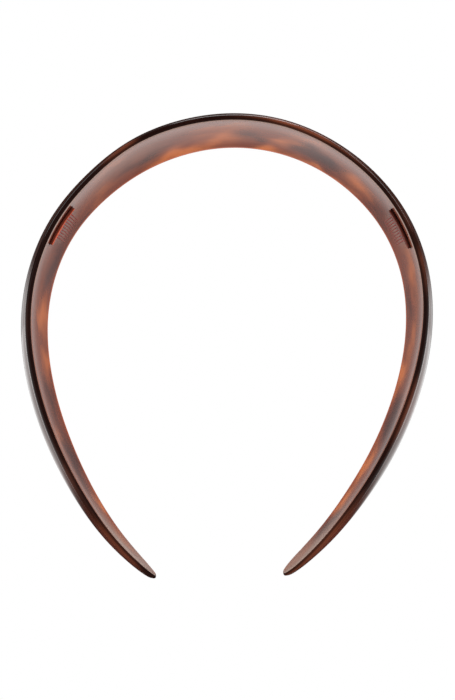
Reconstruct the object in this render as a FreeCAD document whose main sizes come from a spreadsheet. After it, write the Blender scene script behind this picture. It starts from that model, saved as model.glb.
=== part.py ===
import FreeCAD, Part
import math
import os
import Sketcher

# Headband: one hoop of domed acetate strip, bent to a horseshoe, with a small
# toothed comb bonded in a routed slot on each side of its inner face.
#
# Row frame, millimetres: +Z up, crown on top, both tips at the bottom, X across
# the head, Y front to back. The front edge of the strip is at -Y. The origin is
# the middle of the base of the box.
#
# The hoop is elastic: it opens at the crown when it is put on. It is made here
# as two rigid halves that meet at the crown, where a sprung hinge stands for
# the bending.

V = FreeCAD.Vector
doc = FreeCAD.newDocument("headband")

# ---------------------------------------------------------------- dimensions
sheet = doc.addObject("Spreadsheet::Sheet", "dims")
_row = [1]


def cell(alias, value, note=""):
    r = _row[0]
    sheet.set("A%d" % r, note or alias)
    sheet.set("B%d" % r, repr(value))
    sheet.setAlias("B%d" % r, alias)
    _row[0] += 1


# Bend line: the inner face's edge seen along Y, from the left tip over the
# crown to the right tip, evenly spaced along the strip. The strip has relaxed
# a little unevenly: its left shoulder is rounder and its right arm straighter.
BEND = [
    (-21.36, -76.51), (-33.46, -64.60), (-43.12, -51.71), (-51.08, -37.65),
    (-57.46, -22.58), (-61.73, -6.75), (-63.18, 9.40), (-60.85, 25.36),
    (-54.40, 40.19), (-44.17, 52.78), (-31.46, 62.92), (-16.55, 69.49),
    (-0.49, 72.20), (15.70, 70.65), (30.78, 64.84), (43.87, 55.46),
    (54.13, 42.92), (60.36, 27.87), (62.23, 11.71), (60.48, -4.46),
    (56.05, -20.15), (49.59, -35.09), (41.43, -49.03), (31.84, -62.12),
    (20.51, -74.33),
]
for i, (x, z) in enumerate(BEND):
    cell("bend_x%02d" % i, x, "bend line point %d, across" % i)
    cell("bend_z%02d" % i, z, "bend line point %d, up" % i)
cell("shift_x", 0.488, "bend line to row frame, across")
cell("shift_z", 77.28, "bend line to row frame, up")

# Cross-sections of the strip, by distance along it from the crown's middle.
# wide: front edge to back edge. rim: thickness of the edge face. dome: rise of
# the outer face above the rim. hollow: how far the inner face is dished.
# left, right: the strip's twist there on each arm, degrees, front edge outward.
STATIONS = [
    # along  wide   rim   dome  hollow left  right
    (0.05, 38.40, 2.05, 3.60, 1.20, 0.0, 0.0),
    (16.0, 38.10, 2.05, 3.58, 1.18, 0.4, -0.2),
    (32.0, 37.00, 2.05, 3.50, 1.10, 0.8, -0.5),
    (48.0, 34.70, 2.05, 3.42, 0.96, 0.2, -0.3),
    (64.0, 32.00, 2.08, 3.38, 0.82, 0.0, 0.0),
    (80.0, 29.60, 2.13, 3.42, 0.70, 0.0, 0.0),
    (96.0, 27.20, 2.22, 3.50, 0.60, 0.0, 0.0),
    (112.0, 24.50, 2.32, 3.55, 0.50, 0.2, -0.1),
    (128.0, 21.90, 2.40, 3.48, 0.41, 0.5, -0.1),
    (144.0, 19.70, 2.42, 3.20, 0.34, 0.3, -0.1),
    (158.0, 17.30, 2.38, 2.80, 0.27, -0.4, 0.1),
    (169.0, 15.10, 2.30, 2.35, 0.21, -0.7, 0.3),
    (178.0, 13.20, 2.20, 1.85, 0.16, -1.2, 0.9),
    (184.0, 11.70, 2.10, 1.46, 0.12, -2.0, 1.6),
    (188.0, 10.10, 2.02, 1.16, 0.10, -2.7, 2.3),
    (190.8, 8.20, 1.92, 0.90, 0.08, -3.3, 2.8),
    (192.8, 6.20, 1.80, 0.68, 0.06, -3.7, 3.2),
    (194.2, 4.20, 1.62, 0.48, 0.05, -4.0, 3.4),
    (195.0, 2.40, 1.40, 0.32, 0.04, -4.2, 3.6),
]
for i, row in enumerate(STATIONS):
    for name, value in zip(("along", "wide", "rim", "dome", "hollow", "left_twist", "right_twist"), row):
        cell("%s_%02d" % (name, i), value, "%s at section %d" % (name, i))
cell("edge_radius", 0.5, "rounding of the four long edges")

# Comb and its slot. Angles and radii are about the local centre of curvature.
cell("left_comb_along", 66.6, "left comb's centre, along the strip from the crown")
cell("right_comb_along", 67.2, "right comb's centre, along the strip from the crown")
cell("comb_front", 5.0, "front edge of the strip to the front of the slot")
cell("slot_long", 14.8, "slot length along the strip")
cell("slot_wide", 2.0, "slot width, front to back")
cell("slot_deep", 1.3, "slot depth below the inner face")
cell("spine_long", 14.2, "comb spine length along the strip")
cell("spine_wide", 1.0, "comb spine, front to back")
cell("spine_proud", 1.0, "comb spine's height above the inner face")
cell("teeth_pitch", 0.98, "tooth pitch")
cell("teeth_shift", 0.5, "row of teeth from the spine's middle, toward the crown")
cell("teeth_count", 10, "teeth on each comb")
cell("teeth_reach", 8.4, "tooth length, front to back")
cell("teeth_rise", 1.5, "how far a tooth's tip leans in from its root")
cell("teeth_wide", 0.50, "tooth width at the root")
cell("teeth_thick", 0.66, "tooth thickness at the root")
cell("left_radius", 56.0, "inner face's bend radius at the left comb")
cell("right_radius", 54.2, "inner face's bend radius at the right comb")
doc.recompute()


def val(alias):
    return float(sheet.get(alias))


# ------------------------------------------------------------- the bend line
line_pts = [
    V(val("bend_x%02d" % i) + val("shift_x"), 0, val("bend_z%02d" % i) + val("shift_z"))
    for i in range(len(BEND))
]
line = Part.BSplineCurve()
line.interpolate(line_pts)
line_start, line_end = line.FirstParameter, line.LastParameter
line_length = line.length(line_start, line_end)


def on_line(along):
    """Point, unit tangent and unit outward normal, at a signed distance from the crown's middle."""
    p = line.parameterAtDistance(line_length / 2.0 + along, line_start)
    point = line.value(p)
    tangent = line.tangent(p)[0]
    normal = V(-tangent.z, 0, tangent.x)
    return point, tangent, normal


def frame(origin, x_dir, y_dir):
    """Placement whose local X and Y run along the two directions."""
    z_dir = x_dir.cross(y_dir)
    m = FreeCAD.Matrix(
        x_dir.x, y_dir.x, z_dir.x, origin.x,
        x_dir.y, y_dir.y, z_dir.y, origin.y,
        x_dir.z, y_dir.z, z_dir.z, origin.z,
        0, 0, 0, 1,
    )
    return FreeCAD.Placement(m)


def origin_plane(body, role):
    return [f for f in body.Origin.OriginFeatures if f.Role == role][0]


def attach(sk, body, offset, role="XY_Plane"):
    sk.AttachmentSupport = [(origin_plane(body, role), "")]
    sk.MapMode = "FlatFace"
    sk.AttachmentOffset = offset


# ------------------------------------------------------ a section of the strip
def section_sketch(body, i, side):
    """One closed section: dished inner face below, domed outer face above, rims at both ends, rounded edges.
    Local X is the row's Y, local Y is the outward normal, and the origin is on the bend line."""
    along = val("along_%02d" % i)
    wide, rim = val("wide_%02d" % i), val("rim_%02d" % i)
    dome, hollow, r = val("dome_%02d" % i), val("hollow_%02d" % i), val("edge_radius")
    point, tangent, normal = on_line(side * along)
    sk = body.newObject("Sketcher::SketchObject", "%s_section_%02d" % ("left" if side < 0 else "right", i))
    twist = math.radians(val("%s_twist_%02d" % ("left" if side < 0 else "right", i)))
    attach(sk, body, frame(
        point,
        V(0, 1, 0) * math.cos(twist) - normal * math.sin(twist),
        V(0, 1, 0) * math.sin(twist) + normal * math.cos(twist),
    ))
    w = wide / 2.0
    s2 = r * (1 - math.sqrt(0.5))
    a0, b0 = V(-w + r, 0, 0), V(w - r, 0, 0)
    c0, d0 = V(w, r, 0), V(w, rim - r, 0)
    e0, f0 = V(w - r, rim, 0), V(-w + r, rim, 0)
    g0, h0 = V(-w, rim - r, 0), V(-w, r, 0)
    mids = {
        0: V(0, hollow, 0),
        1: V(w - s2, s2, 0),
        3: V(w - s2, rim - s2, 0),
        4: V(0, rim + dome, 0),
        5: V(-w + s2, rim - s2, 0),
        7: V(-w + s2, s2, 0),
    }
    pts = [a0, b0, c0, d0, e0, f0, g0, h0]
    for k in range(8):
        p, q = pts[k], pts[(k + 1) % 8]
        if k in mids:
            sk.addGeometry(Part.Arc(p, mids[k], q), False)
        else:
            sk.addGeometry(Part.LineSegment(p, q), False)

    # each edge's ends as (geometry, vertex), found by place, so that an arc's sense doesn't matter
    def end_at(k, p):
        return 1 if (sk.getPoint(k, 1) - p).Length < 1e-6 else 2

    for k in range(8):
        q = pts[(k + 1) % 8]
        sk.addConstraint(Sketcher.Constraint("Coincident", k, end_at(k, q), (k + 1) % 8, end_at((k + 1) % 8, q)))
    # the sheet drives the four corners on the +Y side, and the -Y side mirrors them
    for k, ex, ey in (
        (1, "dims.wide_%02d / 2 - dims.edge_radius", None),
        (2, "dims.wide_%02d / 2", "dims.edge_radius"),
        (3, "dims.wide_%02d / 2", "dims.rim_%02d - dims.edge_radius"),
        (4, "dims.wide_%02d / 2 - dims.edge_radius", "dims.rim_%02d"),
    ):
        e = end_at(k, pts[k])
        c = sk.addConstraint(Sketcher.Constraint("DistanceX", -1, 1, k, e, pts[k].x))
        sk.setExpression("Constraints[%d]" % c, ex % i)
        if ey is None:
            sk.addConstraint(Sketcher.Constraint("PointOnObject", k, e, -1))
        else:
            c = sk.addConstraint(Sketcher.Constraint("DistanceY", -1, 1, k, e, pts[k].y))
            sk.setExpression("Constraints[%d]" % c, ey % i if "%" in ey else ey)
    for k, m in ((1, 0), (2, 7), (3, 6), (4, 5)):
        sk.addConstraint(Sketcher.Constraint("Symmetric", k, end_at(k, pts[k]), m, end_at(m, pts[m]), -2))
    # the faces' and the edges' radii
    for k, expr, radius in (
        (0, "((dims.wide_{0} / 2 - dims.edge_radius)^2 + dims.hollow_{0}^2) / (2 * dims.hollow_{0})",
         ((w - r) ** 2 + hollow ** 2) / (2 * hollow)),
        (4, "((dims.wide_{0} / 2 - dims.edge_radius)^2 + dims.dome_{0}^2) / (2 * dims.dome_{0})",
         ((w - r) ** 2 + dome ** 2) / (2 * dome)),
        (1, "dims.edge_radius", r), (3, "dims.edge_radius", r),
        (5, "dims.edge_radius", r), (7, "dims.edge_radius", r),
    ):
        c = sk.addConstraint(Sketcher.Constraint("Radius", k, radius))
        sk.setExpression("Constraints[%d]" % c, expr.format("%02d" % i))
    return sk


# ------------------------------------------------------------ half of the hoop
def comb_frame(side):
    """Local frame of a comb: origin on the bend's centre line, X along the strip, Y front to back, Z outward."""
    point, tangent, normal = on_line(side * val("left_comb_along" if side < 0 else "right_comb_along"))
    radius = val("left_radius" if side < 0 else "right_radius")
    wide = 31.5
    y = -wide / 2.0 + val("comb_front") + val("slot_wide") / 2.0
    hollow = 0.80 * (1 - (2 * y / wide) ** 2)
    centre = point + normal * (hollow - radius)
    x_dir = V(0, 1, 0).cross(normal)
    return centre, x_dir, normal, radius, y


def hoop_half(name, side):
    body = doc.addObject("PartDesign::Body", name)
    body.Label = name
    doc.recompute()
    sketches = [section_sketch(body, i, side) for i in range(len(STATIONS))]
    doc.recompute()
    loft = body.newObject("PartDesign::AdditiveLoft", name + "_strip")
    loft.Profile = (sketches[0], [""])
    loft.Sections = [(s, [""]) for s in sketches[1:]]
    loft.Ruled = False
    loft.Closed = False
    doc.recompute()
    before = loft.Shape.Volume

    # slot for the comb: an arc-shaped groove, concentric with the bend
    centre, x_dir, normal, radius, y = comb_frame(side)
    sk = body.newObject("Sketcher::SketchObject", name + "_slot_profile")
    attach(sk, body, frame(centre, V(0, 1, 0), normal))
    y0, y1 = y - val("slot_wide") / 2.0, y + val("slot_wide") / 2.0
    z0, z1 = radius - 2.0, radius + val("slot_deep")
    corner = [V(y0, z0, 0), V(y1, z0, 0), V(y1, z1, 0), V(y0, z1, 0)]
    for k in range(4):
        sk.addGeometry(Part.LineSegment(corner[k], corner[(k + 1) % 4]), False)
    for k in range(4):
        sk.addConstraint(Sketcher.Constraint("Coincident", k, 2, (k + 1) % 4, 1))
    for k in (0, 2):
        sk.addConstraint(Sketcher.Constraint("Horizontal", k))
    for k in (1, 3):
        sk.addConstraint(Sketcher.Constraint("Vertical", k))
    c = sk.addConstraint(Sketcher.Constraint("DistanceX", 0, 1, 0, 2, y1 - y0))
    sk.setExpression("Constraints[%d]" % c, "dims.slot_wide")
    sk.addConstraint(Sketcher.Constraint("DistanceX", -1, 1, 0, 1, y0))
    sk.addConstraint(Sketcher.Constraint("DistanceY", -1, 1, 0, 1, z0))
    c = sk.addConstraint(Sketcher.Constraint("DistanceY", -1, 1, 2, 1, z1))
    sk.setExpression("Constraints[%d]" % c, "dims.%s_radius + dims.slot_deep" % ("left" if side < 0 else "right"))
    doc.recompute()
    groove = body.newObject("PartDesign::Groove", name + "_slot")
    groove.Profile = sk
    groove.ReferenceAxis = (sk, ["H_Axis"])
    groove.Midplane = True
    groove.Angle = math.degrees(val("slot_long") / radius)
    groove.setExpression("Angle", "dims.slot_long / dims.%s_radius * 180 / pi" % ("left" if side < 0 else "right"))
    doc.recompute()
    cut = before - groove.Shape.Volume
    want = val("slot_long") * val("slot_wide") * val("slot_deep")
    print(name, "strip volume %.1f, slot takes %.2f of %.2f mm3" % (before, cut, want))
    if not 0.7 * want < cut < 1.3 * want:
        raise RuntimeError("the slot in %s cuts the wrong amount" % name)
    body.Tip = groove
    return body


# ------------------------------------------------------------------ the combs
def comb(name, side):
    centre, x_dir, normal, radius, y = comb_frame(side)
    rad = "dims.%s_radius" % ("left" if side < 0 else "right")
    body = doc.addObject("PartDesign::Body", name)
    body.Label = name
    doc.recompute()
    # spine: a curved bar, its foot in the slot against the slot's back wall
    y_back = y + val("slot_wide") / 2.0
    y_front = y_back - val("spine_wide")
    r_foot, r_top = radius + val("slot_deep"), radius - val("spine_proud")
    half = val("spine_long") / 2.0 / radius
    sk = body.newObject("Sketcher::SketchObject", name + "_spine_profile")
    # local X along the strip, local Y outward: the sketch's normal then points to the front
    attach(sk, body, frame(V(0, y_back, 0), V(1, 0, 0), V(0, 0, 1)))

    def polar(r, a):
        return V(r * math.sin(a), r * math.cos(a), 0)

    sk.addGeometry(Part.Arc(polar(r_foot, -half), polar(r_foot, 0), polar(r_foot, half)), False)
    sk.addGeometry(Part.LineSegment(polar(r_foot, half), polar(r_top, half)), False)
    sk.addGeometry(Part.Arc(polar(r_top, -half), polar(r_top, 0), polar(r_top, half)), False)
    sk.addGeometry(Part.LineSegment(polar(r_top, -half), polar(r_foot, -half)), False)

    def end_at(k, p):
        return 1 if (sk.getPoint(k, 1) - p).Length < 1e-6 else 2

    ends = [
        (0, 1, polar(r_foot, half)), (1, 2, polar(r_top, half)),
        (2, 3, polar(r_top, -half)), (3, 0, polar(r_foot, -half)),
    ]
    for a, b, p in ends:
        sk.addConstraint(Sketcher.Constraint("Coincident", a, end_at(a, p), b, end_at(b, p)))
    for k in (0, 2):
        sk.addConstraint(Sketcher.Constraint("Coincident", k, 3, -1, 1))
    c = sk.addConstraint(Sketcher.Constraint("Radius", 0, r_foot))
    sk.setExpression("Constraints[%d]" % c, rad + " + dims.slot_deep")
    c = sk.addConstraint(Sketcher.Constraint("Radius", 2, r_top))
    sk.setExpression("Constraints[%d]" % c, rad + " - dims.spine_proud")
    sk.addConstraint(Sketcher.Constraint("Symmetric", 0, 1, 0, 2, -2))
    sk.addConstraint(Sketcher.Constraint("Symmetric", 2, 1, 2, 2, -2))
    e = end_at(0, polar(r_foot, half))
    c = sk.addConstraint(Sketcher.Constraint("DistanceX", -1, 1, 0, e, polar(r_foot, half).x))
    sk.setExpression("Constraints[%d]" % c, "(%s + dims.slot_deep) * sin(dims.spine_long / 2 / %s * 180 / pi)" % (rad, rad))
    e = end_at(2, polar(r_top, half))
    c = sk.addConstraint(Sketcher.Constraint("DistanceX", -1, 1, 2, e, polar(r_top, half).x))
    sk.setExpression("Constraints[%d]" % c, "(%s - dims.spine_proud) * sin(dims.spine_long / 2 / %s * 180 / pi)" % (rad, rad))
    doc.recompute()
    pad = body.newObject("PartDesign::Pad", name + "_spine")
    pad.Profile = sk
    pad.Length = val("spine_wide")
    pad.setExpression("Length", "dims.spine_wide")
    doc.recompute()

    # one tooth: rooted in the spine's back, tapering and leaning in, at one end of the row
    count = int(round(val("teeth_count")))
    pitch = val("teeth_pitch") / radius
    start = -pitch * (count - 1) / 2.0 - side * val("teeth_shift") / radius
    sections = []
    rise, reach = val("teeth_rise"), val("teeth_reach")
    for k, (part, scale) in enumerate(((-0.04, 1.0), (0.5, 0.82), (0.9, 0.58), (1.0, 0.30))):
        s = body.newObject("Sketcher::SketchObject", "%s_tooth_%d" % (name, k))
        out = V(math.sin(start), 0, math.cos(start))
        along = V(math.cos(start), 0, -math.sin(start))
        mid_r = radius - val("spine_proud") * 0.62 - rise * max(part, 0.0)
        o = out * mid_r + V(0, y_back + reach * part, 0)
        attach(s, body, frame(o, along, out))
        hw, ht = val("teeth_wide") / 2.0 * scale, val("teeth_thick") / 2.0 * scale
        box = [V(-hw, -ht, 0), V(hw, -ht, 0), V(hw, ht, 0), V(-hw, ht, 0)]
        for q in range(4):
            s.addGeometry(Part.LineSegment(box[q], box[(q + 1) % 4]), False)
        for q in range(4):
            s.addConstraint(Sketcher.Constraint("Coincident", q, 2, (q + 1) % 4, 1))
        for q in (0, 2):
            s.addConstraint(Sketcher.Constraint("Horizontal", q))
        for q in (1, 3):
            s.addConstraint(Sketcher.Constraint("Vertical", q))
        s.addConstraint(Sketcher.Constraint("Symmetric", 0, 1, 1, 2, -1, 1))
        c = s.addConstraint(Sketcher.Constraint("DistanceX", 0, 1, 0, 2, 2 * hw))
        s.setExpression("Constraints[%d]" % c, "dims.teeth_wide * %s" % scale)
        c = s.addConstraint(Sketcher.Constraint("DistanceY", 1, 1, 1, 2, 2 * ht))
        s.setExpression("Constraints[%d]" % c, "dims.teeth_thick * %s" % scale)
        sections.append(s)
    doc.recompute()
    tooth = body.newObject("PartDesign::AdditiveLoft", name + "_tooth")
    tooth.Profile = (sections[0], [""])
    tooth.Sections = [(s, [""]) for s in sections[1:]]
    tooth.Ruled = True
    doc.recompute()
    one = tooth.Shape.Volume - pad.Shape.Volume
    row = body.newObject("PartDesign::PolarPattern", name + "_teeth")
    row.Originals = [tooth]
    row.Axis = (origin_axis(body), [""])
    row.Occurrences = count
    row.Angle = math.degrees(pitch * (count - 1))
    row.setExpression("Angle", "dims.teeth_pitch / %s * (dims.teeth_count - 1) * 180 / pi" % rad)
    body.Tip = row
    doc.recompute()
    print(name, "spine %.2f, one tooth %.3f, whole %.2f mm3" % (pad.Shape.Volume, one, row.Shape.Volume))
    if abs(row.Shape.Volume - pad.Shape.Volume - count * one) > 0.05 * count * one:
        raise RuntimeError("the teeth of %s aren't all there" % name)
    body.Placement = frame(centre, x_dir, V(0, 1, 0))
    return body


def origin_axis(body):
    return [f for f in body.Origin.OriginFeatures if f.Role == "Y_Axis"][0]


parts = [
    hoop_half("hoop_left_half", -1),
    hoop_half("hoop_right_half", 1),
    comb("left_comb", -1),
    comb("right_comb", 1),
]
doc.recompute()

# ------------------------------------------------------------ checks and files
for obj in doc.Objects:
    bad = [s for s in obj.State if s in ("Invalid", "Error")]
    if bad:
        raise RuntimeError("%s is %s" % (obj.Name, bad))
for body in parts:
    shape = body.Shape
    if shape.isNull() or not shape.isValid() or len(shape.Solids) != 1:
        raise RuntimeError("%s has no single valid solid" % body.Label)
box = FreeCAD.BoundBox()
for body in parts:
    box.add(body.Shape.BoundBox)
print("box %.2f..%.2f  %.2f..%.2f  %.2f..%.2f" % (box.XMin, box.XMax, box.YMin, box.YMax, box.ZMin, box.ZMax))
top = on_line(0.0)
print("crown point", tuple(round(c, 3) for c in top[0]), "normal", tuple(round(c, 4) for c in top[2]))
for a, b in ((0, 2), (1, 3), (0, 1)):
    common = parts[a].Shape.common(parts[b].Shape).Volume
    print("overlap %s / %s: %.5f mm3, gap %.4f mm" % (parts[a].Label, parts[b].Label, common,
          parts[a].Shape.distToShape(parts[b].Shape)[0]))
os.makedirs("parts", exist_ok=True)
for body in parts:
    body.Shape.exportStep("parts/%s.step" % body.Label)
    print("wrote", body.Label, "%.1f mm3" % body.Shape.Volume)
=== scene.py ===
import math

import bmesh
import bpy
import numpy as np
from mathutils import Matrix, Vector


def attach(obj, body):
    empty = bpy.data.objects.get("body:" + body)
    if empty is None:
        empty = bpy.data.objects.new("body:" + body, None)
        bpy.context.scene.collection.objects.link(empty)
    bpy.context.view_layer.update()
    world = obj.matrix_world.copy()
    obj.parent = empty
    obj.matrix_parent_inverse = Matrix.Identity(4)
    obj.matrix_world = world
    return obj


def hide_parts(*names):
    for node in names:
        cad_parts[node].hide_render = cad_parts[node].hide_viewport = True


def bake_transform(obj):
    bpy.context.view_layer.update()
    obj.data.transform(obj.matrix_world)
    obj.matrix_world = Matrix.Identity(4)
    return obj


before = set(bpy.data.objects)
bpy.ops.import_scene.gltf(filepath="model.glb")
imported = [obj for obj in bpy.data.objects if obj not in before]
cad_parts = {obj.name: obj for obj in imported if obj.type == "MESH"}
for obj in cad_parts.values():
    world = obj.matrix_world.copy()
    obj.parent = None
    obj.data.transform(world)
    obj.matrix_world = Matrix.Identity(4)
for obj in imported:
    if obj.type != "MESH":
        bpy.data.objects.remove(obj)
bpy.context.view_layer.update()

MM = 0.001

# =====================================================================
# Camera: level, straight in front of the hoop, at the height of its middle
# =====================================================================
cam_data = bpy.data.cameras.new("camera")
cam_data.sensor_width = 36.0
cam_data.lens = 45.18
cam_data.dof.use_dof = False
cam_data.clip_start = 0.01
cam = bpy.data.objects.new("camera", cam_data)
bpy.context.scene.collection.objects.link(cam)
ROLL = math.radians(1.67)
cam.matrix_world = (
    Matrix.Translation(Vector((0.488, -295.0, 77.28)) * MM)
    @ Matrix.Rotation(math.radians(90), 4, "X")
    @ Matrix.Rotation(ROLL, 4, "Z")
)
bpy.context.scene.camera = cam

# =====================================================================
# The strip: the same bend line and sections as the CAD hoop (millimetres)
# =====================================================================
BEND = np.array([
    (-21.36, -76.51), (-33.46, -64.60), (-43.12, -51.71), (-51.08, -37.65),
    (-57.46, -22.58), (-61.73, -6.75), (-63.18, 9.40), (-60.85, 25.36),
    (-54.40, 40.19), (-44.17, 52.78), (-31.46, 62.92), (-16.55, 69.49),
    (-0.49, 72.20), (15.70, 70.65), (30.78, 64.84), (43.87, 55.46),
    (54.13, 42.92), (60.36, 27.87), (62.23, 11.71), (60.48, -4.46),
    (56.05, -20.15), (49.59, -35.09), (41.43, -49.03), (31.84, -62.12),
    (20.51, -74.33),
]) + np.array([0.488, 77.28])

STATIONS = np.array([
    # along  wide   rim   dome  hollow left  right twist
    (0.0, 38.40, 2.05, 3.60, 1.20, 0.0, 0.0),
    (16.0, 38.10, 2.05, 3.58, 1.18, 0.4, -0.2),
    (32.0, 37.00, 2.05, 3.50, 1.10, 0.8, -0.5),
    (48.0, 34.70, 2.05, 3.42, 0.96, 0.2, -0.3),
    (64.0, 32.00, 2.08, 3.38, 0.82, 0.0, 0.0),
    (80.0, 29.60, 2.13, 3.42, 0.70, 0.0, 0.0),
    (96.0, 27.20, 2.22, 3.50, 0.60, 0.0, 0.0),
    (112.0, 24.50, 2.32, 3.55, 0.50, 0.2, -0.1),
    (128.0, 21.90, 2.40, 3.48, 0.41, 0.5, -0.1),
    (144.0, 19.70, 2.42, 3.20, 0.34, 0.3, -0.1),
    (158.0, 17.30, 2.38, 2.80, 0.27, -0.4, 0.1),
    (169.0, 15.10, 2.30, 2.35, 0.21, -0.7, 0.3),
    (178.0, 13.20, 2.20, 1.85, 0.16, -1.2, 0.9),
    (184.0, 11.70, 2.10, 1.46, 0.12, -2.0, 1.6),
    (188.0, 10.10, 2.02, 1.16, 0.10, -2.7, 2.3),
    (190.8, 8.20, 1.92, 0.90, 0.08, -3.3, 2.8),
    (192.8, 6.20, 1.80, 0.68, 0.06, -3.7, 3.2),
    (194.2, 4.20, 1.62, 0.48, 0.05, -4.0, 3.4),
    (195.0, 2.40, 1.40, 0.32, 0.04, -4.2, 3.6),
])
EDGE, EDGE_OUT = 0.5, 1.0
TIP, NOSE = 195.7, 194.55


def spline(t, y, x):
    """Natural cubic spline through (t, y), at x."""
    n = len(t)
    h = np.diff(t)
    a = np.zeros((n, n))
    b = np.zeros(n)
    a[0, 0] = a[-1, -1] = 1.0
    for i in range(1, n - 1):
        a[i, i - 1], a[i, i], a[i, i + 1] = h[i - 1], 2 * (h[i - 1] + h[i]), h[i]
        b[i] = 6 * ((y[i + 1] - y[i]) / h[i] - (y[i] - y[i - 1]) / h[i - 1])
    m = np.linalg.solve(a, b)
    i = np.clip(np.searchsorted(t, x) - 1, 0, n - 2)
    d = x - t[i]
    hi = h[i]
    c1 = (y[i + 1] - y[i]) / hi - hi * (2 * m[i] + m[i + 1]) / 6
    return y[i] + d * (c1 + d * (m[i] / 2 + d * (m[i + 1] - m[i]) / (6 * hi)))


_t = np.concatenate([[0], np.cumsum(np.hypot(*np.diff(BEND, axis=0).T))])
_u = np.linspace(0, _t[-1], 8001)
_x, _z = spline(_t, BEND[:, 0], _u), spline(_t, BEND[:, 1], _u)
_len = np.concatenate([[0], np.cumsum(np.hypot(np.diff(_x), np.diff(_z)))])
HALF = _len[-1] / 2


def on_line(s):
    """Points, tangents and outward normals at signed distances s from the crown's middle. Past the ends it runs straight on."""
    s = np.atleast_1d(np.asarray(s, float))
    q = np.clip(s + HALF, 0, _len[-1])
    over = s + HALF - q
    u = np.interp(q, _len, _u)
    e = 0.05
    ua, ub = np.clip(u - e, 0, _t[-1]), np.clip(u + e, 0, _t[-1])
    tx = spline(_t, BEND[:, 0], ub) - spline(_t, BEND[:, 0], ua)
    tz = spline(_t, BEND[:, 1], ub) - spline(_t, BEND[:, 1], ua)
    ln = np.hypot(tx, tz)
    tx, tz = tx / ln, tz / ln
    p = np.stack([spline(_t, BEND[:, 0], u) + over * tx, spline(_t, BEND[:, 1], u) + over * tz], 1)
    return p, np.stack([tx, tz], 1), np.stack([-tz, tx], 1)


_st = np.concatenate([-STATIONS[:0:-1, 0], STATIONS[:, 0]])


def sizes(s):
    s = np.clip(s, -195.0, 195.0)
    return [spline(_st, np.concatenate([STATIONS[:0:-1, k], STATIONS[:, k]]), s) for k in range(1, 5)]


def twist(s):
    """Radians: the front edge turned outward."""
    v = np.concatenate([STATIONS[:0:-1, 5], STATIONS[:, 6]])
    return np.radians(spline(_st, v, np.clip(s, -195.0, 195.0)))


def arc(a, m, b, n):
    """n points from a to b (a included, b not) on the circle through a, m, b."""
    ax, ay, bx, by, cx, cy = *a, *m, *b
    d = 2 * (ax * (by - cy) + bx * (cy - ay) + cx * (ay - by))
    ux = ((ax**2 + ay**2) * (by - cy) + (bx**2 + by**2) * (cy - ay) + (cx**2 + cy**2) * (ay - by)) / d
    uy = ((ax**2 + ay**2) * (cx - bx) + (bx**2 + by**2) * (ax - cx) + (cx**2 + cy**2) * (bx - ax)) / d
    r = math.hypot(ax - ux, ay - uy)
    t0, tm, t1 = (math.atan2(q[1] - uy, q[0] - ux) for q in (a, m, b))
    two = 2 * math.pi
    sweep = (t1 - t0) % two
    if not 0 < (tm - t0) % two < sweep:
        sweep -= two
    return [(ux + r * math.cos(t0 + sweep * k / n), uy + r * math.sin(t0 + sweep * k / n)) for k in range(n)]


N_IN, N_EDGE, N_RIM, N_OUT = 30, 5, 5, 38


def section(wide, rim, dome, hollow):
    """Closed section as (across, outward), from the front inner corner, and what each point lies on: 0 inner, 1 rim, 2 outer."""
    w = wide / 2
    r = min(EDGE, w * 0.4, rim * 0.4)
    o = min(EDGE_OUT, w * 0.5, rim * 0.5)
    k, m = r * (1 - math.sqrt(0.5)), o * (1 - math.sqrt(0.5))
    pts, kind = [], []

    def add(p, c):
        pts.extend(p)
        kind.extend(c if isinstance(c, list) else [c] * len(p))

    flat = rim - r - o
    add(arc((-w + r, 0), (0, hollow), (w - r, 0), N_IN), 0.0)
    add(arc((w - r, 0), (w - k, k), (w, r), N_EDGE), 0.5)
    add([(w, r + flat * i / N_RIM) for i in range(N_RIM)], 1.0)
    add(arc((w, rim - o), (w - m, rim - m), (w - o, rim), N_EDGE + 2), 1.5)
    add(arc((w - o, rim), (0, rim + dome), (-w + o, rim), N_OUT), 2.0)
    add(arc((-w + o, rim), (-w + m, rim - m), (-w, rim - o), N_EDGE + 2), 1.5)
    add([(-w, rim - o - flat * i / N_RIM) for i in range(N_RIM)], 1.0)
    add(arc((-w, r), (-w + k, k), (-w + r, 0), N_EDGE), 0.5)
    return np.array(pts), np.array(kind)


def to_row(s, across, out):
    """Strip coordinates to the row frame, in metres."""
    p, _, n = on_line(s)
    k = twist(s)
    y = across * np.cos(k) + out * np.sin(k)
    out = out * np.cos(k) - across * np.sin(k)
    x = p[:, 0] + n[:, 0] * out
    z = p[:, 1] + n[:, 1] * out
    return np.stack([x, y, z], 1) * MM


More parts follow.
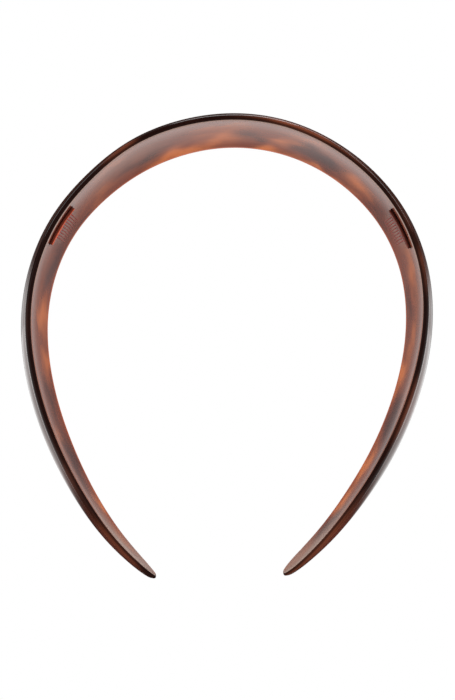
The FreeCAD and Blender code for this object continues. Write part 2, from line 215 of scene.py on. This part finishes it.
def build_hoop():
    main = np.arange(-186, 186.01, 1.0)
    t = np.linspace(0, 1, 22)[1:]
    tip = 186 + (TIP - 186) * (1 - (1 - t) ** 1.8)
    ss = np.concatenate([-tip[::-1], main, tip])
    wide, rim, dome, hollow = sizes(ss)
    verts, strip, kinds = [], [], []
    n_sec = None
    for i, s in enumerate(ss):
        a = abs(s)
        w, r, d, h = wide[i], rim[i], dome[i], hollow[i]
        shrink = math.sqrt(1 - 0.97 * (max(0.0, a - NOSE) / (TIP - NOSE)) ** 2)
        if a > 186.0:
            # the plan of the tip is half an ellipse, joined softly to the taper
            round_w = 12.5 * math.sqrt(max(0.0, 1 - ((a - 179.0) / (TIP - 179.0)) ** 2 * 0.995))
            f = min(1.0, (a - 186.0) / 4.0)
            f = f * f * (3 - 2 * f)
            w = w * (1 - f) + round_w * f
        pts, kind = section(max(w, 0.6), r, d, h)
        mid = (r + d) * 0.5
        v = mid + (pts[:, 1] - mid) * shrink
        verts.append(to_row(np.full(len(pts), s), pts[:, 0], v))
        strip.append(np.stack([np.full(len(pts), s), pts[:, 0], v], 1))
        kinds.append(kind)
        n_sec = len(pts)
    verts, strip, kinds = np.concatenate(verts), np.concatenate(strip), np.concatenate(kinds)
    faces = []
    for i in range(len(ss) - 1):
        a, b = i * n_sec, (i + 1) * n_sec
        for j in range(n_sec):
            k = (j + 1) % n_sec
            faces.append((a + j, b + j, b + k, a + k))
    faces.append(tuple(range(n_sec)))
    last = (len(ss) - 1) * n_sec
    faces.append(tuple(last + j for j in reversed(range(n_sec))))
    me = bpy.data.meshes.new("hoop")
    me.from_pydata([tuple(v) for v in verts], [], faces)
    me.validate()
    bm = bmesh.new()
    bm.from_mesh(me)
    bmesh.ops.recalc_face_normals(bm, faces=bm.faces)
    bm.to_mesh(me)
    bm.free()
    ob = bpy.data.objects.new("hoop", me)
    bpy.context.scene.collection.objects.link(ob)
    return ob


# =====================================================================
# Combs and the slots they sit in
# =====================================================================
COMB_ALONG, COMB_FRONT = {-1: 66.6, 1: 67.2}, 5.0
SLOT_LONG, SLOT_WIDE, SLOT_DEEP = 14.8, 2.0, 1.3
SPINE_LONG, SPINE_WIDE, SPINE_PROUD = 14.2, 1.0, 1.0
PITCH, TEETH, REACH, RISE, SHIFT = 0.98, 10, 8.4, 1.5, 0.5
RADIUS = {-1: 56.0, 1: 54.2}


def comb_place(side):
    p, _, n = on_line(side * COMB_ALONG[side])
    p, n = p[0], n[0]
    radius = RADIUS[side]
    y = -31.5 / 2 + COMB_FRONT + SLOT_WIDE / 2
    hollow = 0.80 * (1 - (2 * y / 31.5) ** 2)
    centre = p + n * (hollow - radius)
    return centre, n, radius, y


def comb_map(side, arc_mm, y, r):
    """Along the strip about the comb's middle, front to back, and distance from the bend's centre -> row frame, metres."""
    centre, n, radius, _ = comb_place(side)
    a = arc_mm / radius
    tx, tz = n[1], -n[0]
    ca, sa = math.cos(a), math.sin(a)
    return (
        (centre[0] + r * (n[0] * ca + tx * sa)) * MM,
        y * MM,
        (centre[1] + r * (n[1] * ca + tz * sa)) * MM,
    )


def obround(length, width, n=10):
    """Outline of a slot with round ends, centred, long side along the first axis."""
    r = width / 2
    c = length / 2 - r
    pts = []
    for k in range(n + 1):
        a = -math.pi / 2 + math.pi * k / n
        pts.append((c + r * math.cos(a), r * math.sin(a)))
    steps = max(2, int(2 * c / 0.8))
    for k in range(1, steps):
        pts.append((c - 2 * c * k / steps, r))
    for k in range(n + 1):
        a = math.pi / 2 + math.pi * k / n
        pts.append((-c + r * math.cos(a), r * math.sin(a)))
    for k in range(1, steps):
        pts.append((-c + 2 * c * k / steps, -r))
    return pts


def mesh_object(name, verts, faces):
    me = bpy.data.meshes.new(name)
    me.from_pydata(verts, [], faces)
    bm = bmesh.new()
    bm.from_mesh(me)
    bmesh.ops.remove_doubles(bm, verts=bm.verts, dist=1e-7)
    bmesh.ops.recalc_face_normals(bm, faces=bm.faces)
    bm.to_mesh(me)
    bm.free()
    ob = bpy.data.objects.new(name, me)
    bpy.context.scene.collection.objects.link(ob)
    return ob


def lofted(side, name, loops):
    """Closed solid from loops of (along, y, r), each of the same length."""
    verts, faces = [], []
    n = len(loops[0])
    for loop in loops:
        verts += [comb_map(side, *p) for p in loop]
    for i in range(len(loops) - 1):
        for j in range(n):
            k = (j + 1) % n
            faces.append((i * n + j, i * n + k, (i + 1) * n + k, (i + 1) * n + j))
    faces.append(tuple(range(n)))
    last = (len(loops) - 1) * n
    faces.append(tuple(last + j for j in range(n)))
    return mesh_object(name, verts, faces)


def slot_cutter(side):
    _, _, radius, y = comb_place(side)
    loops = []
    for r, grow in ((radius - 2.5, 0.14), (radius - 0.12, 0.14), (radius + 0.02, 0.03), (radius + 0.14, 0.0), (radius + SLOT_DEEP, 0.0)):
        loops.append([(a, y + b, r) for a, b in obround(SLOT_LONG + 2 * grow, SLOT_WIDE + 2 * grow)])
    return lofted(side, "cutter", loops)


def modifier_boolean(ob, other, op):
    m = ob.modifiers.new("b", "BOOLEAN")
    m.operation = op
    m.solver = "EXACT"
    m.object = other
    bpy.context.view_layer.update()
    deps = bpy.context.evaluated_depsgraph_get()
    me = bpy.data.meshes.new_from_object(ob.evaluated_get(deps))
    ob.modifiers.clear()
    old = ob.data
    ob.data = me
    bpy.data.meshes.remove(old)
    bpy.data.objects.remove(other)


def build_comb(side, name):
    _, _, radius, y = comb_place(side)
    back = y + SLOT_WIDE / 2
    mid = back - SPINE_WIDE / 2
    bev = 0.22
    loops = []
    for r, inset in (
        (radius + SLOT_DEEP - 0.01, 0.0),
        (radius + 0.2, 0.0),
        (radius - SPINE_PROUD + bev, 0.0),
        (radius - SPINE_PROUD + bev * 0.62, bev * 0.08),
        (radius - SPINE_PROUD + bev * 0.29, bev * 0.29),
        (radius - SPINE_PROUD + bev * 0.08, bev * 0.62),
        (radius - SPINE_PROUD, bev),
    ):
        loops.append([(a, mid + b, r) for a, b in obround(SPINE_LONG - 2 * inset, SPINE_WIDE - 0.02 - 2 * inset, 8)])
    spine = lofted(side, name, loops)

    teeth_verts, teeth_faces = [], []
    nu = 14
    for t in range(TEETH):
        a0 = (t - (TEETH - 1) / 2) * PITCH - side * SHIFT
        stops = [-0.55, 0.0, 0.08, 0.25, 0.45, 0.65, 0.82, 0.92, 0.965, 0.99, 1.0]
        base = len(teeth_verts)
        for q in stops:
            p = max(q, 0.0)
            if q < 0:
                yy, scale = back - 0.4, 1.0
            else:
                yy = back + REACH * q
                scale = 1.0 - 0.22 * p
                if p > 0.9:
                    scale *= math.sqrt(max(0.0, 1 - ((p - 0.9) / 0.1) ** 2 * 0.97))
            # root fillet onto the spine
            root = 1.0 + 0.35 * math.exp(-p * REACH / 0.25)
            hw, ht = 0.26 * scale * root, 0.36 * scale * (0.9 + 0.1 * root)
            r0 = radius - SPINE_PROUD * 0.60 - RISE * (0.85 * p + 0.15 * p * p)
            for k in range(nu):
                g = 2 * math.pi * k / nu
                cx, cz = math.cos(g), math.sin(g)
                # superellipse: a moulded tooth, flat-sided with rounded corners
                ex = math.copysign(abs(cx) ** 0.72, cx)
                ez = math.copysign(abs(cz) ** 0.72, cz)
                teeth_verts.append(comb_map(side, a0 + hw * ex, yy, r0 + ht * ez))
        for i in range(len(stops) - 1):
            for k in range(nu):
                k2 = (k + 1) % nu
                a, b = base + i * nu, base + (i + 1) * nu
                teeth_faces.append((a + k, a + k2, b + k2, b + k))
        teeth_faces.append(tuple(base + k for k in range(nu)))
        last = base + (len(stops) - 1) * nu
        teeth_faces.append(tuple(last + k for k in range(nu)))
    teeth = mesh_object("teeth", teeth_verts, teeth_faces)
    modifier_boolean(spine, teeth, "UNION")
    return spine


# =====================================================================
# Surface data for the materials
# =====================================================================
# strip coordinates of every vertex: distance along, across and outward, mm
_grid_s = np.arange(-196.0, 196.01, 0.25)
_grid_p, _grid_t, _grid_n = on_line(_grid_s)


def strip_coords(co):
    """Row-frame vertices, metres, back to (along, across, outward) in mm."""
    p = co / MM
    out = np.empty((len(p), 3))
    for a in range(0, len(p), 4000):
        q = p[a:a + 4000]
        d = (q[:, None, 0] - _grid_p[None, :, 0]) ** 2 + (q[:, None, 2] - _grid_p[None, :, 1]) ** 2
        i = d.argmin(1)
        e = np.stack([q[:, 0] - _grid_p[i, 0], q[:, 2] - _grid_p[i, 1]], 1)
        out[a:a + 4000, 0] = _grid_s[i] + (e * _grid_t[i]).sum(1)
        out[a:a + 4000, 1] = q[:, 1]
        out[a:a + 4000, 2] = (e * _grid_n[i]).sum(1)
    k, y, v = twist(out[:, 0]), out[:, 1].copy(), out[:, 2].copy()
    out[:, 1] = y * np.cos(k) - v * np.sin(k)
    out[:, 2] = v * np.cos(k) + y * np.sin(k)
    return out


def add_attributes(ob):
    me = ob.data
    co = np.zeros(len(me.vertices) * 3)
    me.vertices.foreach_get("co", co)
    sc = strip_coords(co.reshape(-1, 3))
    wide, rim, dome, hollow = sizes(sc[:, 0])
    half = np.maximum(wide / 2, 0.3)
    yn = np.clip(np.abs(sc[:, 1]) / half, 0, 1)
    inner_v = hollow * (1 - yn**2)
    outer_v = rim + dome * (1 - yn**2)
    depth = np.clip((sc[:, 2] - inner_v) / np.maximum(outer_v - inner_v, 0.2), 0, 1)   # 0 on the inner face, 1 on the outer
    edge = half - np.abs(sc[:, 1])                                                       # distance to the nearer rim, mm
    s, q = sc[:, 0], sc[:, 1] / half
    # the clouds' outlines wander a little
    ws = s + 1.6 * np.sin(s * 0.31 + q * 4.1) + 1.1 * np.sin(s * 0.13 - q * 7.3 + 1.7)
    wq = q + 0.10 * np.sin(s * 0.27 + 0.6) + 0.06 * np.sin(s * 0.71 + q * 3.0 + 2.1)
    rim_up = np.clip(sc[:, 2] / rim, 0, 1)                                               # 0 at the rim's inner edge, 1 at its outer
    # painted light: the inner face is painted pale towards the tips, standing in for their highlight and the light
    # passing through the thin ends
    pale = np.clip((np.abs(s) - 152) / 26, 0, 1) * np.clip(0.36 - 0.50 * q, 0, 1)
    pale = np.maximum(pale, np.clip((np.abs(s) - 172) / 16, 0, 1) * 0.55)
    # painted reflection: a lighter patch under each comb's teeth, standing in for the light mirrored between them
    at = np.where(s < 0, COMB_ALONG[-1], COMB_ALONG[1])
    pale += 0.42 * np.exp(-((np.abs(s) - at + SHIFT) / 5.2) ** 4 - ((q + 0.06) / 0.40) ** 4)
    pale += 0.25 * np.exp(-((s + 36) / 15) ** 2 - ((q + 0.15) / 0.55) ** 2)
    # painted highlight: the pale line inside the front edge stands in for the reflection along it
    line = 0.80 - 0.50 * np.clip((np.abs(s) - 72) / 30, 0, 1)
    pale = np.where(q < 0, np.maximum(pale, line * np.clip(1.35 - edge / 1.3, 0, 1)), pale)  # a pale line inside the front edge
    # painted shade: the inner face is painted dark in front of each slot, standing in for shade and the dark reflection
    # of the comb's spine
    near = np.exp(-((np.abs(s) - at) / (SLOT_LONG / 2)) ** 12) * (q < 0)
    slot_front_shade = np.where(s < 0, np.clip((edge - 2.2) / 0.8, 0, 1), np.clip((edge - 3.5) / 0.6, 0, 1)) * np.clip((7.2 - edge) / 0.3, 0, 1) * near
    fade = np.clip((178 - np.abs(s)) / 30, 0.25, 1)
    amber, umber, rim_red = np.zeros(len(s)), np.zeros(len(s)), np.zeros(len(s))
    for total, spots in ((amber, AMBER), (umber, UMBER)):
        for s0, q0, ls, lq, k in spots:
            total += k * np.exp(-((ws - s0) / ls) ** 2 - ((wq - q0) / lq) ** 2)
    for s0, ls, k in RIM_RED:
        rim_red += k * np.exp(-((ws - s0) / ls) ** 2)
    a = me.attributes.new("strip", "FLOAT_VECTOR", "POINT")
    a.data.foreach_set("vector", (sc * 0.1).astype(np.float32).ravel())                  # centimetres
    for name, v in (("depth", depth), ("edge", edge), ("across", q), ("amber", amber), ("umber", umber), ("rim_red", rim_red),
                    ("rim_up", rim_up), ("pale", pale), ("fade", fade), ("slot_front_shade", slot_front_shade)):
        a = me.attributes.new(name, "FLOAT", "POINT")
        a.data.foreach_set("value", v.astype(np.float32))
    # faces inside the slots
    mid = np.zeros(len(me.polygons) * 3)
    me.polygons.foreach_get("center", mid)
    sc = strip_coords(mid.reshape(-1, 3))
    wide, rim, dome, hollow = sizes(sc[:, 0])
    yn = np.clip(np.abs(sc[:, 1]) / (wide / 2), 0, 1)
    down = sc[:, 2] - hollow * (1 - yn**2)
    at = np.where(sc[:, 0] < 0, COMB_ALONG[-1], COMB_ALONG[1])
    cut = (np.abs(np.abs(sc[:, 0]) - at) < SLOT_LONG / 2 + 0.4) & (down > 0.03) & (down < 1.6) & (wide / 2 - np.abs(sc[:, 1]) > 3.0)
    a = me.attributes.new("cut", "FLOAT", "FACE")
    a.data.foreach_set("value", cut.astype(np.float32))


# =====================================================================
# Materials
# =====================================================================
class Nodes:
    def __init__(self, mat):
        mat.use_nodes = True
        self.t = mat.node_tree
        self.t.nodes.clear()

    def new(self, kind, **props):
        n = self.t.nodes.new(kind)
        for k, v in props.items():
            setattr(n, k, v)
        return n

    def link(self, a, b):
        self.t.links.new(a, b)

    def put(self, socket, value):
        if isinstance(value, bpy.types.NodeSocket):
            self.link(value, socket)
        elif value is not None:
            socket.default_value = value

    def attr(self, name, out="Fac"):
        return self.new("ShaderNodeAttribute", attribute_name=name).outputs[out]

    def math(self, op, a, b=None, c=None, clamp=False):
        n = self.new("ShaderNodeMath", operation=op, use_clamp=clamp)
        for i, v in enumerate((a, b, c)):
            if v is not None:
                self.put(n.inputs[i], v)
        return n.outputs[0]

    def mix(self, f, a, b, blend="MIX"):
        n = self.new("ShaderNodeMix", data_type="RGBA", blend_type=blend)
        self.put(n.inputs[0], f)
        self.put(n.inputs[6], a)
        self.put(n.inputs[7], b)
        return n.outputs[2]

    def step(self, x, lo, hi, out_lo=0.0, out_hi=1.0):
        n = self.new("ShaderNodeMapRange", interpolation_type="SMOOTHSTEP")
        for i, v in enumerate((x, lo, hi, out_lo, out_hi)):
            self.put(n.inputs[i], v)
        return n.outputs[0]

    def scaled(self, vec, scale, shift=(0, 0, 0)):
        n = self.new("ShaderNodeMapping")
        self.link(vec, n.inputs["Vector"])
        n.inputs["Scale"].default_value = scale
        n.inputs["Location"].default_value = shift
        return n.outputs[0]

    def noise(self, vec, scale, detail=3.0, rough=0.5, distort=0.0):
        n = self.new("ShaderNodeTexNoise")
        self.link(vec, n.inputs["Vector"])
        n.inputs["Scale"].default_value = scale
        n.inputs["Detail"].default_value = detail
        n.inputs["Roughness"].default_value = rough
        n.inputs["Distortion"].default_value = distort
        return n.outputs[0]


# The sheet's clouds: distance along the strip (mm, left arm negative),
# across it (-1 the front edge, 1 the back edge), half-length (mm), half-width, strength
AMBER = [
    (-179, 0.0, 7, 0.9, 0.5), (-164, 0.6, 5, 0.5, 0.8), (-138, -0.4, 5, 0.5, 0.5),
    (-113, 0.7, 5, 0.6, 0.7), (-97, 0.3, 6, 0.6, 0.9), (-50, 0.4, 7, 0.5, 0.45),
    (-41, -0.6, 8, 0.3, 0.6), (-20, 0.85, 11, 0.3, 1.2), (-4, 0.3, 8, 0.5, 0.9),
    (-2, -0.5, 14, 0.25, 0.5), (13, 0.9, 4, 0.35, 1.3), (18, 0.2, 6, 0.3, 0.8),
    (26, -0.5, 8, 0.3, 0.6), (33, 0.95, 14, 0.15, 0.9), (47, 0.25, 6, 0.4, 0.9),
    (81, -0.1, 11, 0.4, 0.8), (104, 0.1, 7, 0.4, 0.7), (117, 0.65, 6, 0.4, 1.2),
    (124, -0.6, 6, 0.4, 0.4), (150, 0.5, 7, 0.5, 1.2), (165, 0.5, 5, 0.5, 1.0),
    (187, 0.0, 8, 0.8, 0.35),
]
UMBER = [
    (-147, 0.1, 13, 0.7, 1.1), (-124, 0.1, 8, 0.6, 0.9), (-80, 0.5, 10, 0.5, 0.9),
    (-62, 0.8, 8, 0.4, 0.5), (-30, 0.4, 9, 0.35, 0.8), (7, 0.3, 5, 0.3, 0.7),
    (31, 0.3, 10, 0.45, 1.1), (58, 0.5, 8, 0.5, 0.6), (57, -0.3, 7, 0.4, 0.4),
    (91, 0.7, 10, 0.4, 0.6), (132, 0.0, 10, 0.6, 1.1), (140, -0.8, 14, 0.4, 0.5),
    (174, 0.1, 8, 0.6, 1.1),
]
# Where the edge faces turn from near black to red-brown: along, half-length, strength
RIM_RED = [
    (-178, 14, 0.75), (-150, 10, 0.5), (-98, 5, 0.2), (-37, 5, 0.7), (-12, 4, 0.2),
    (20, 14, 1.2), (42, 8, 0.4), (62, 8, 0.4), (82, 8, 0.55), (129, 13, 0.6), (178, 17, 1.15),
]


BROWN_FRONT, BROWN_BACK = (0.29, 0.084, 0.048, 1), (0.25, 0.058, 0.030, 1)
UMBER_COLOR, AMBER_COLOR = (0.10, 0.030, 0.024, 1), (0.72, 0.20, 0.060, 1)
GLOW_COLOR, OUTER_DARK = (0.75, 0.13, 0.018, 1), (0.030, 0.009, 0.006, 1)
RIM_BLACK, RIM_RED_COLOR = (0.013, 0.004, 0.003, 1), (0.17, 0.045, 0.022, 1)
PAINTED_SHEEN_COLOR, SLOT_SHADE_COLOR = (0.44, 0.33, 0.28, 1), (0.016, 0.003, 0.002, 1)
OUTER_RED, SLOT_FRONT_SHADE_COLOR = (0.11, 0.022, 0.012, 1), (0.045, 0.007, 0.004, 1)
COMB_BROWN, COMB_GLOW_PAINT, COMB_SHADE_PAINT = (0.17, 0.030, 0.016, 1), (0.66, 0.085, 0.020, 1), (0.022, 0.004, 0.003, 1)
TOOTH_ROOT, TOOTH_END = (0.30, 0.016, 0.008, 1), (0.25, 0.038, 0.024, 1)


def acetate(name, kind):
    """Polished tortoiseshell acetate. kind is 'hoop' or 'comb'."""
    mat = bpy.data.materials.new(name)
    n = Nodes(mat)
    out = n.new("ShaderNodeOutputMaterial")
    b = n.new("ShaderNodeBsdfPrincipled")
    n.link(b.outputs[0], out.inputs[0])
    b.inputs["IOR"].default_value = 1.5
    b.inputs["Coat Weight"].default_value = 0.0
    b.inputs["Subsurface Weight"].default_value = 0.0
    if kind == "hoop":
        strip = n.attr("strip", "Vector")
        edge, depth, across = n.attr("edge"), n.attr("depth"), n.attr("across")
        cloud = n.noise(n.scaled(strip, (0.75, 1.5, 1.2)), 1.0, 3.0, 0.5, 0.4)
        streak = n.noise(n.scaled(strip, (0.8, 7.0, 3.0), (3.1, 0.7, 0.2)), 1.0, 3.0, 0.55, 0.2)
        amber = n.math("ADD", n.attr("amber"), n.math("MULTIPLY_ADD", cloud, 0.7, -0.40))
        umber = n.math("ADD", n.attr("umber"), n.math("MULTIPLY_ADD", streak, 0.8, -0.44))
        brown = n.mix(n.step(across, -0.8, 0.9), BROWN_FRONT, BROWN_BACK)
        base = n.mix(n.step(umber, -0.1, 1.0), brown, UMBER_COLOR)
        base = n.mix(n.step(amber, -0.1, 1.25), base, AMBER_COLOR)
        # the thin back edge passes more light: a warm line along it on the inner face
        inner = n.step(depth, 0.45, 0.05)
        glow = n.math("MULTIPLY", n.step(edge, 2.0, 0.40), n.step(across, -0.2, 0.8, 0.0, 0.80))
        base = n.mix(n.math("MULTIPLY", n.math("MULTIPLY", glow, inner), n.attr("fade")), base, GLOW_COLOR)
        # painted highlights and reflections: the pale patches lighten the inner face
        base = n.mix(n.math("MULTIPLY", n.attr("pale"), inner), base, PAINTED_SHEEN_COLOR)
        # painted shade in front of each slot
        base = n.mix(n.math("MULTIPLY", n.attr("slot_front_shade"), inner), base, SLOT_FRONT_SHADE_COLOR)
        # From outside the sheet is darker. On the inner face the lighter colours are partly painted light, standing in
        # for light shining through the sheet; the clouds in them are the sheet's own.
        red = n.math("ADD", n.attr("rim_red"), n.math("MULTIPLY_ADD", cloud, 0.5, -0.27))
        outer = n.mix(n.step(red, 0.1, 1.1), OUTER_DARK, OUTER_RED)
        base = n.mix(n.step(depth, 0.45, 0.85, 0.0, 0.92), base, outer)
        # looking into the sheet edge-on, it is almost black
        layers = n.noise(n.scaled(strip, (0.25, 0.4, 14.0)), 1.0, 2.0, 0.6)
        rim_color = n.mix(n.step(red, 0.0, 1.1), RIM_BLACK, RIM_RED_COLOR)
        rim_color = n.mix(n.step(layers, 0.45, 0.75, 0.0, 0.5), rim_color, RIM_BLACK)
        rim_color = n.mix(n.step(n.attr("rim_up"), 0.30, 0.62, 0.75, 0.0), rim_color, RIM_BLACK)
        rim = n.math("MULTIPLY", n.step(edge, 0.80, 0.30), n.step(depth, 0.03, 0.10))
        base = n.mix(rim, base, rim_color)
        # painted shade: the walls and floor of the routed slots are painted near black
        base = n.mix(n.attr("cut"), base, SLOT_SHADE_COLOR)
        n.link(base, b.inputs["Base Color"])
        rough = n.noise(n.scaled(strip, (6, 6, 6)), 1.0, 3.0, 0.6)
        n.link(n.step(rough, 0.3, 0.7, 0.07, 0.13), b.inputs["Roughness"])
        bump = n.new("ShaderNodeBump")
        bump.inputs["Strength"].default_value = 0.05
        bump.inputs["Distance"].default_value = 0.0003
        n.link(n.noise(n.scaled(strip, (1.2, 3.0, 2.0)), 1.0, 2.0), bump.inputs["Height"])
        n.link(bump.outputs[0], b.inputs["Normal"])
    else:
        # up is 0 where the spine leaves the slot and 1 at its top; tooth is 0 on the spine and 1 at a tooth's end
        up, tooth, front = n.attr("up"), n.attr("tooth"), n.attr("front")
        strip = n.attr("strip", "Vector")
        v = n.noise(n.scaled(strip, (4.0, 5.0, 9.0)), 1.0, 3.0, 0.6, 0.3)
        # painted light: the top of the spine is painted amber, standing in for light shining through its thin edge
        warm = n.math("MULTIPLY", n.step(up, 0.72, 0.95), n.step(v, 0.25, 0.70, 0.55, 1.0))
        base = n.mix(warm, COMB_BROWN, COMB_GLOW_PAINT)
        # painted shade: the spine's front face is painted dark towards the slot
        base = n.mix(n.math("MULTIPLY", front, n.step(up, 0.50, 0.10)), base, COMB_SHADE_PAINT)
        tine = n.mix(n.step(tooth, 0.05, 0.45), TOOTH_ROOT, TOOTH_END)
        base = n.mix(n.step(tooth, 0.0, 0.02), base, tine)
        n.link(base, b.inputs["Base Color"])
        r = n.noise(n.scaled(strip, (20, 20, 20)), 1.0, 2.0)
        n.link(n.step(r, 0.3, 0.7, 0.08, 0.16), b.inputs["Roughness"])
        bump = n.new("ShaderNodeBump")
        bump.inputs["Strength"].default_value = 0.15
        bump.inputs["Distance"].default_value = 0.0002
        n.link(v, bump.inputs["Height"])
        n.link(bump.outputs[0], b.inputs["Normal"])
    return mat


# =====================================================================
# Build
# =====================================================================
hoop = build_hoop()
for side in (-1, 1):
    modifier_boolean(hoop, slot_cutter(side), "DIFFERENCE")
add_attributes(hoop)
hoop.data.materials.clear()
hoop.data.materials.append(acetate("hoop_acetate", "hoop"))


def add_comb_attributes(ob, side):
    me = ob.data
    co = np.zeros(len(me.vertices) * 3)
    me.vertices.foreach_get("co", co)
    co = co.reshape(-1, 3) / MM
    centre, _, radius, y = comb_place(side)
    r = np.hypot(co[:, 0] - centre[0], co[:, 2] - centre[1])
    back = y + SLOT_WIDE / 2
    up = np.clip((radius - r) / SPINE_PROUD, 0, 1)
    tooth = np.clip((co[:, 1] - back) / REACH, 0, 1)
    front = (co[:, 1] < back - SPINE_WIDE + 0.30).astype(float)
    if side > 0:
        # painted shade: on this side the whole spine is painted dark, with no amber top
        up, front = up * 0.45, np.ones(len(r))                                           # this strip is dark right through
    a = me.attributes.new("strip", "FLOAT_VECTOR", "POINT")
    a.data.foreach_set("vector", (strip_coords(co * MM) * 0.1).astype(np.float32).ravel())
    for name, v in (("up", up), ("tooth", tooth), ("front", front)):
        a = me.attributes.new(name, "FLOAT", "POINT")
        a.data.foreach_set("value", v.astype(np.float32))


combs = {s: build_comb(s, nm) for s, nm in ((-1, "left_comb_strip"), (1, "right_comb_strip"))}
comb_mat = acetate("comb_acetate", "comb")
for side, ob in combs.items():
    add_comb_attributes(ob, side)
    ob.data.materials.clear()
    ob.data.materials.append(comb_mat)


def shade(ob, angle):
    me = ob.data
    me.polygons.foreach_set("use_smooth", [True] * len(me.polygons))
    me.set_sharp_from_angle(angle=math.radians(angle))
    me.update()


shade(hoop, 32)
for ob in combs.values():
    shade(ob, 40)

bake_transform(hoop)
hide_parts("hoop_left_half", "hoop_right_half")
for side, body, node in ((-1, "left_side", "left_comb"), (1, "right_side", "right_comb")):
    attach(combs[side], body)
    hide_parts(node)

# =====================================================================
# Studio: pale floor, pale surroundings, soft light
# =====================================================================
# What gloss mirrors, as shares of white
AHEAD, WALL, SIDES, CEILING, OVERHEAD, FRONT = 0.60, 0.24, 1.10, 0.06, 0.30, 0.18
FLOOR_NEAR, FLOOR_SIDES = 0.12, 1.30
# name, place, aimed at, width, height, watts
SOFTBOXES = [
    ("overhead", (0.0, 0.05, 1.00), (0, 0, 0.08), 0.60, 0.35, 3.0),
    ("upper_right", (0.62, -0.42, 0.60), (0, 0, 0.08), 0.20, 0.45, 1.2),
    ("upper_left", (-0.70, -0.30, 0.55), (0, 0, 0.08), 0.30, 0.40, 0.8),
    ("back", (0.30, 0.75, 0.95), (0, 0, 0.08), 0.60, 0.40, 1.5),
]

world = bpy.data.worlds.new("studio")
bpy.context.scene.world = world
world.use_nodes = True
wt = world.node_tree
wt.nodes.clear()


def wnode(kind, **props):
    node = wt.nodes.new(kind)
    for k, v in props.items():
        setattr(node, k, v)
    return node


def wmap(x, lo, hi, out_lo, out_hi):
    node = wnode("ShaderNodeMapRange", interpolation_type="SMOOTHSTEP")
    wt.links.new(x, node.inputs[0])
    for i, v in enumerate((lo, hi, out_lo, out_hi)):
        node.inputs[i + 1].default_value = v
    return node.outputs[0]


def wmath(op, a, b):
    node = wnode("ShaderNodeMath", operation=op)
    for i, v in enumerate((a, b)):
        if isinstance(v, bpy.types.NodeSocket):
            wt.links.new(v, node.inputs[i])
        else:
            node.inputs[i].default_value = v
    return node.outputs[0]


# The room is white and lights everything evenly. What gloss mirrors is dimmer, as when a
# photographer flags a shiny object: a grey wall beyond it, lighter at the sides, a dark ceiling.
w_dir = wnode("ShaderNodeSeparateXYZ")
wt.links.new(wnode("ShaderNodeTexCoord").outputs["Generated"], w_dir.inputs[0])
w_side = wmath("ABSOLUTE", w_dir.outputs[0], 0.0)
room = wmath("ADD", wmap(w_side, 0.03, 0.20, AHEAD, WALL), wmap(w_side, 0.33, 0.55, 0.0, SIDES))
room = wmath("MULTIPLY", room, wmap(w_dir.outputs[2], 0.05, 0.20, 1.0, CEILING))
room = wmath("ADD", room, wmap(w_dir.outputs[2], 0.55, 0.85, 0.0, OVERHEAD))
room = wmath("MULTIPLY", room, wmap(w_dir.outputs[1], -0.05, 0.55, FRONT, 1.0))
w_bg = wnode("ShaderNodeBackground")
wt.links.new(room, w_bg.inputs["Strength"])
w_white = wnode("ShaderNodeBackground")
w_white.inputs["Strength"].default_value = 1.0
w_white.inputs["Color"].default_value = (1, 1, 1, 1)
w_mix = wnode("ShaderNodeMixShader")
wt.links.new(wnode("ShaderNodeLightPath").outputs["Is Glossy Ray"], w_mix.inputs[0])
wt.links.new(w_white.outputs[0], w_mix.inputs[1])
wt.links.new(w_bg.outputs[0], w_mix.inputs[2])
wt.links.new(w_mix.outputs[0], wnode("ShaderNodeOutputWorld").inputs[0])

me = bpy.data.meshes.new("floor")
me.from_pydata([(-6, -6, -0.0006), (6, -6, -0.0006), (6, 6, -0.0006), (-6, 6, -0.0006)], [], [(0, 1, 2, 3)])
floor = bpy.data.objects.new("floor", me)
bpy.context.scene.collection.objects.link(floor)
fm = bpy.data.materials.new("floor_white")
f = Nodes(fm)
f_seen = f.new("ShaderNodeEmission")
f_seen.inputs["Strength"].default_value = 1.0
f_dim = f.new("ShaderNodeEmission")
place = f.new("ShaderNodeNewGeometry").outputs["Position"]
f_xyz = f.new("ShaderNodeSeparateXYZ")
f.link(place, f_xyz.inputs[0])
f_away = f.new("ShaderNodeVectorMath", operation="LENGTH")
f.link(place, f_away.inputs[0])
away = f_away.outputs["Value"]
aside = f.math("DIVIDE", f.math("ABSOLUTE", f_xyz.outputs[0]), away)
level = f.math("ADD", f.step(away, 0.26, 0.45, FLOOR_NEAR, 0.82), f.step(away, 0.70, 1.40, 0.0, 0.18))
level = f.math("MULTIPLY", f.step(aside, 0.03, 0.20, AHEAD, WALL), level)
level = f.math("ADD", level, f.math("MULTIPLY", f.step(aside, 0.36, 0.52, 0.0, FLOOR_SIDES), f.step(away, 0.07, 0.14)))
level = f.math("MULTIPLY", level, f.step(f_xyz.outputs[1], -0.10, 0.01, FRONT, 1.0))
f.link(level, f_dim.inputs["Strength"])
f_mix = f.new("ShaderNodeMixShader")
f.link(f.new("ShaderNodeLightPath").outputs["Is Glossy Ray"], f_mix.inputs[0])
f.link(f_seen.outputs[0], f_mix.inputs[1])
f.link(f_dim.outputs[0], f_mix.inputs[2])
f.link(f_mix.outputs[0], f.new("ShaderNodeOutputMaterial").inputs[0])
floor.data.materials.append(fm)


def softbox(name, at, look, size_x, size_y, power):
    data = bpy.data.lights.new(name, "AREA")
    data.shape = "RECTANGLE"
    data.size, data.size_y = size_x, size_y
    data.energy = power
    ob = bpy.data.objects.new(name, data)
    bpy.context.scene.collection.objects.link(ob)
    ob.visible_camera = False
    at, look = Vector(at), Vector(look)
    ob.matrix_world = Matrix.Translation(at) @ (look - at).to_track_quat("-Z", "Y").to_matrix().to_4x4()
    return ob


for spec in SOFTBOXES:
    softbox(*spec)

bpy.context.scene.view_settings.view_transform = "Standard"
bpy.context.scene.view_settings.look = "None"
